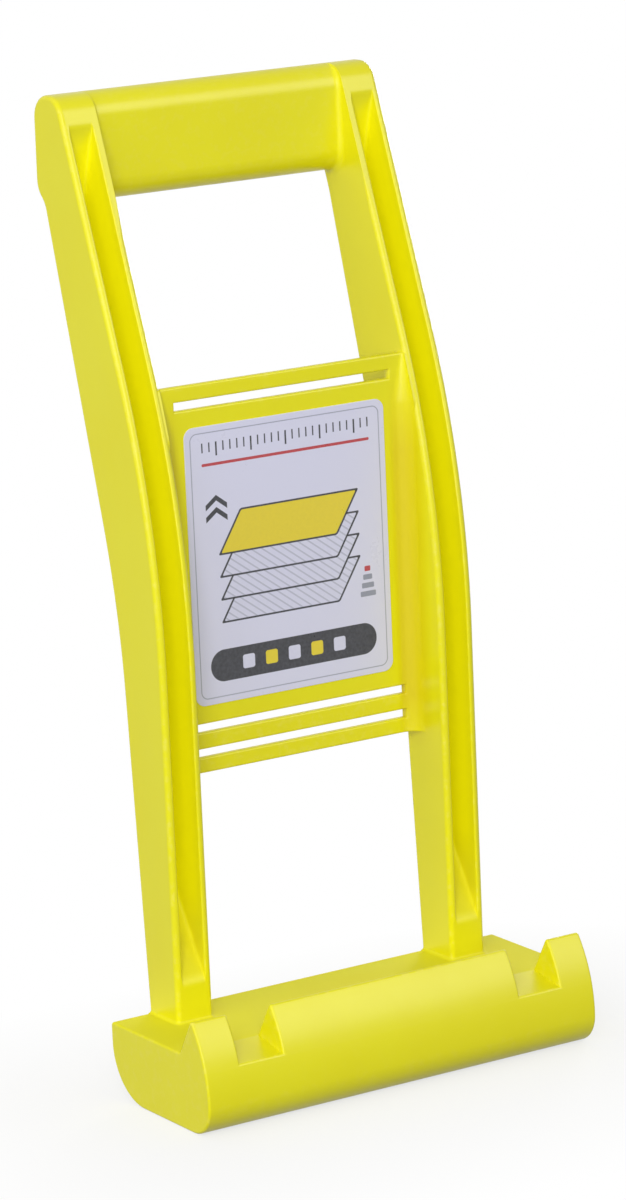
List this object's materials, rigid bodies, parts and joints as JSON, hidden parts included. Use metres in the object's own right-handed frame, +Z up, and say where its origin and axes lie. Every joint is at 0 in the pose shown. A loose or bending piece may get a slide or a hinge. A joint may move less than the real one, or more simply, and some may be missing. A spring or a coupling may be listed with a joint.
{
  "type": "panel carrier",
  "caption": "Moulded hand carrier for sheet panels: a hooked shelf with a notched lip, bent channel rails, a slotted label plate and a rounded grip bar at the top.",
  "frame": {"origin": "middle of the flat on the underside of the shelf, on the carrier's plane of symmetry", "axes": "+X along the sheet that is carried, +Y towards the person who carries, +Z up to the handle"},
  "size_m": [0.171, 0.1189, 0.365],
  "materials": {
    "yellow_plastic": "satin",
    "label_film": "satin"
  },
  "bodies": {
    "root": {"handle_bar": "yellow_plastic", "left_rail": "yellow_plastic", "right_rail": "yellow_plastic", "label_plate": "yellow_plastic", "label": "label_film", "shelf_floor": "yellow_plastic", "left_lip": "yellow_plastic", "center_lip": "yellow_plastic", "right_lip": "yellow_plastic", "front_wall": "yellow_plastic", "bottom_wall": "yellow_plastic", "left_end_wall": "yellow_plastic", "right_end_wall": "yellow_plastic", "shelf_ribs": "yellow_plastic"}
  },
  "joints": []
}
